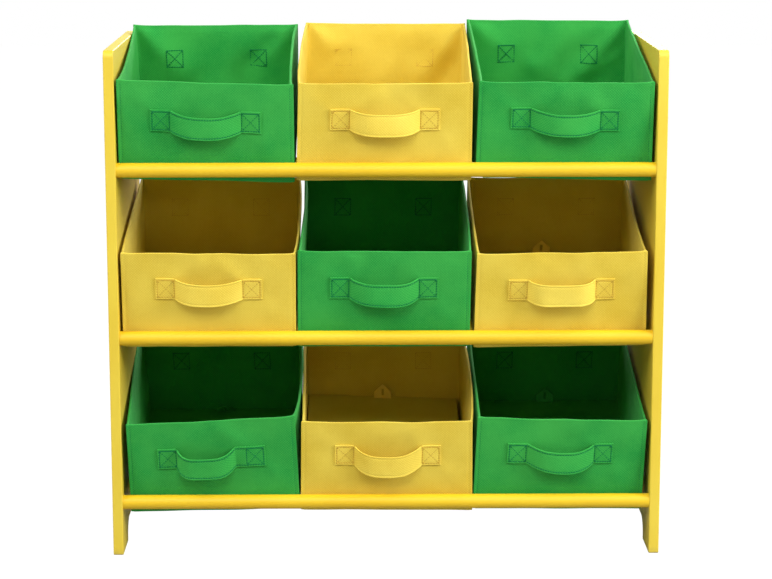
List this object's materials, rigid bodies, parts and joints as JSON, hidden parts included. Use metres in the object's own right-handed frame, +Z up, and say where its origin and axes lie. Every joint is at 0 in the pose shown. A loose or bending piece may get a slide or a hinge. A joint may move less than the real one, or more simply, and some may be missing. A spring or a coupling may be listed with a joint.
{
  "type": "toy storage rack with fabric bins",
  "caption": "Free-standing painted rack with round rails that carries open, forward-tipped fabric bins with strap handles and removable base boards.",
  "frame": {"origin": "middle of the whole object's footprint, at floor level", "axes": "+X to the right seen from the front, the front faces -Y, +Z up"},
  "size_m": [0.65, 0.3106, 0.6119],
  "materials": {
    "yellow_paint": "satin yellow paint on board and dowel",
    "green_fabric": "matt green non-woven fabric",
    "yellow_fabric": "matt yellow non-woven fabric",
    "grey_board": "raw grey board",
    "zinc_steel": "zinc-plated"
  },
  "bodies": {
    "rack": {"left_side_panel": "yellow_paint", "right_side_panel": "yellow_paint", "panel_screws": "zinc_steel", "bottom_front_rail": "yellow_paint", "bottom_front_support_rail": "yellow_paint", "bottom_rear_support_rail": "yellow_paint", "middle_front_rail": "yellow_paint", "middle_front_support_rail": "yellow_paint", "middle_rear_support_rail": "yellow_paint", "top_front_rail": "yellow_paint", "top_front_support_rail": "yellow_paint", "top_rear_support_rail": "yellow_paint"},
    "bottom_left_bin": {"bottom_left_bin_cover": "green_fabric", "bottom_left_bin_wall_boards": "grey_board", "bottom_left_bin_handles": "green_fabric"},
    "bottom_left_base_board": {"bottom_left_bin_base_board": "green_fabric", "bottom_left_bin_pull_tab": "green_fabric"},
    "bottom_centre_bin": {"bottom_centre_bin_cover": "yellow_fabric", "bottom_centre_bin_wall_boards": "grey_board", "bottom_centre_bin_handles": "yellow_fabric"},
    "bottom_centre_base_board": {"bottom_centre_bin_base_board": "yellow_fabric", "bottom_centre_bin_pull_tab": "yellow_fabric"},
    "bottom_right_bin": {"bottom_right_bin_cover": "green_fabric", "bottom_right_bin_wall_boards": "grey_board", "bottom_right_bin_handles": "green_fabric"},
    "bottom_right_base_board": {"bottom_right_bin_base_board": "green_fabric", "bottom_right_bin_pull_tab": "green_fabric"},
    "middle_left_bin": {"middle_left_bin_cover": "yellow_fabric", "middle_left_bin_wall_boards": "grey_board", "middle_left_bin_handles": "yellow_fabric"},
    "middle_left_base_board": {"middle_left_bin_base_board": "yellow_fabric", "middle_left_bin_pull_tab": "yellow_fabric"},
    "middle_centre_bin": {"middle_centre_bin_cover": "green_fabric", "middle_centre_bin_wall_boards": "grey_board", "middle_centre_bin_handles": "green_fabric"},
    "middle_centre_base_board": {"middle_centre_bin_base_board": "green_fabric", "middle_centre_bin_pull_tab": "green_fabric"},
    "middle_right_bin": {"middle_right_bin_cover": "yellow_fabric", "middle_right_bin_wall_boards": "grey_board", "middle_right_bin_handles": "yellow_fabric"},
    "middle_right_base_board": {"middle_right_bin_base_board": "yellow_fabric", "middle_right_bin_pull_tab": "yellow_fabric"},
    "top_left_bin": {"top_left_bin_cover": "green_fabric", "top_left_bin_wall_boards": "grey_board", "top_left_bin_handles": "green_fabric"},
    "top_left_base_board": {"top_left_bin_base_board": "green_fabric", "top_left_bin_pull_tab": "green_fabric"},
    "top_centre_bin": {"top_centre_bin_cover": "yellow_fabric", "top_centre_bin_wall_boards": "grey_board", "top_centre_bin_handles": "yellow_fabric"},
    "top_centre_base_board": {"top_centre_bin_base_board": "yellow_fabric", "top_centre_bin_pull_tab": "yellow_fabric"},
    "top_right_bin": {"top_right_bin_cover": "green_fabric", "top_right_bin_wall_boards": "grey_board", "top_right_bin_handles": "green_fabric"},
    "top_right_base_board": {"top_right_bin_base_board": "green_fabric", "top_right_bin_pull_tab": "green_fabric"}
  },
  "joints": [
    {"name": "bottom_left_bin_lift", "type": "slide", "parent": "rack", "child": "bottom_left_bin", "axis": [0, -0.1736, 0.9848], "range_m": [0, 0.045]},
    {"name": "bottom_left_base_board_lift", "type": "slide", "parent": "bottom_left_bin", "child": "bottom_left_base_board", "axis": [0, -0.1736, 0.9848], "range_m": [0, 0.085]},
    {"name": "bottom_centre_bin_lift", "type": "slide", "parent": "rack", "child": "bottom_centre_bin", "axis": [0, -0.1736, 0.9848], "range_m": [0, 0.045]},
    {"name": "bottom_centre_base_board_lift", "type": "slide", "parent": "bottom_centre_bin", "child": "bottom_centre_base_board", "axis": [0, -0.1736, 0.9848], "range_m": [0, 0.085]},
    {"name": "bottom_right_bin_lift", "type": "slide", "parent": "rack", "child": "bottom_right_bin", "axis": [0, -0.1736, 0.9848], "range_m": [0, 0.045]},
    {"name": "bottom_right_base_board_lift", "type": "slide", "parent": "bottom_right_bin", "child": "bottom_right_base_board", "axis": [0, -0.1736, 0.9848], "range_m": [0, 0.085]},
    {"name": "middle_left_bin_lift", "type": "slide", "parent": "rack", "child": "middle_left_bin", "axis": [0, -0.1736, 0.9848], "range_m": [0, 0.045]},
    {"name": "middle_left_base_board_lift", "type": "slide", "parent": "middle_left_bin", "child": "middle_left_base_board", "axis": [0, -0.1736, 0.9848], "range_m": [0, 0.085]},
    {"name": "middle_centre_bin_lift", "type": "slide", "parent": "rack", "child": "middle_centre_bin", "axis": [0, -0.1736, 0.9848], "range_m": [0, 0.045]},
    {"name": "middle_centre_base_board_lift", "type": "slide", "parent": "middle_centre_bin", "child": "middle_centre_base_board", "axis": [0, -0.1736, 0.9848], "range_m": [0, 0.085]},
    {"name": "middle_right_bin_lift", "type": "slide", "parent": "rack", "child": "middle_right_bin", "axis": [0, -0.1736, 0.9848], "range_m": [0, 0.045]},
    {"name": "middle_right_base_board_lift", "type": "slide", "parent": "middle_right_bin", "child": "middle_right_base_board", "axis": [0, -0.1736, 0.9848], "range_m": [0, 0.085]},
    {"name": "top_left_bin_lift", "type": "slide", "parent": "rack", "child": "top_left_bin", "axis": [0, -0.1736, 0.9848], "range_m": [0, 0.18]},
    {"name": "top_left_base_board_lift", "type": "slide", "parent": "top_left_bin", "child": "top_left_base_board", "axis": [0, -0.1736, 0.9848], "range_m": [0, 0.125]},
    {"name": "top_centre_bin_lift", "type": "slide", "parent": "rack", "child": "top_centre_bin", "axis": [0, -0.1736, 0.9848], "range_m": [0, 0.18]},
    {"name": "top_centre_base_board_lift", "type": "slide", "parent": "top_centre_bin", "child": "top_centre_base_board", "axis": [0, -0.1736, 0.9848], "range_m": [0, 0.125]},
    {"name": "top_right_bin_lift", "type": "slide", "parent": "rack", "child": "top_right_bin", "axis": [0, -0.1736, 0.9848], "range_m": [0, 0.18]},
    {"name": "top_right_base_board_lift", "type": "slide", "parent": "top_right_bin", "child": "top_right_base_board", "axis": [0, -0.1736, 0.9848], "range_m": [0, 0.125]}
  ]
}
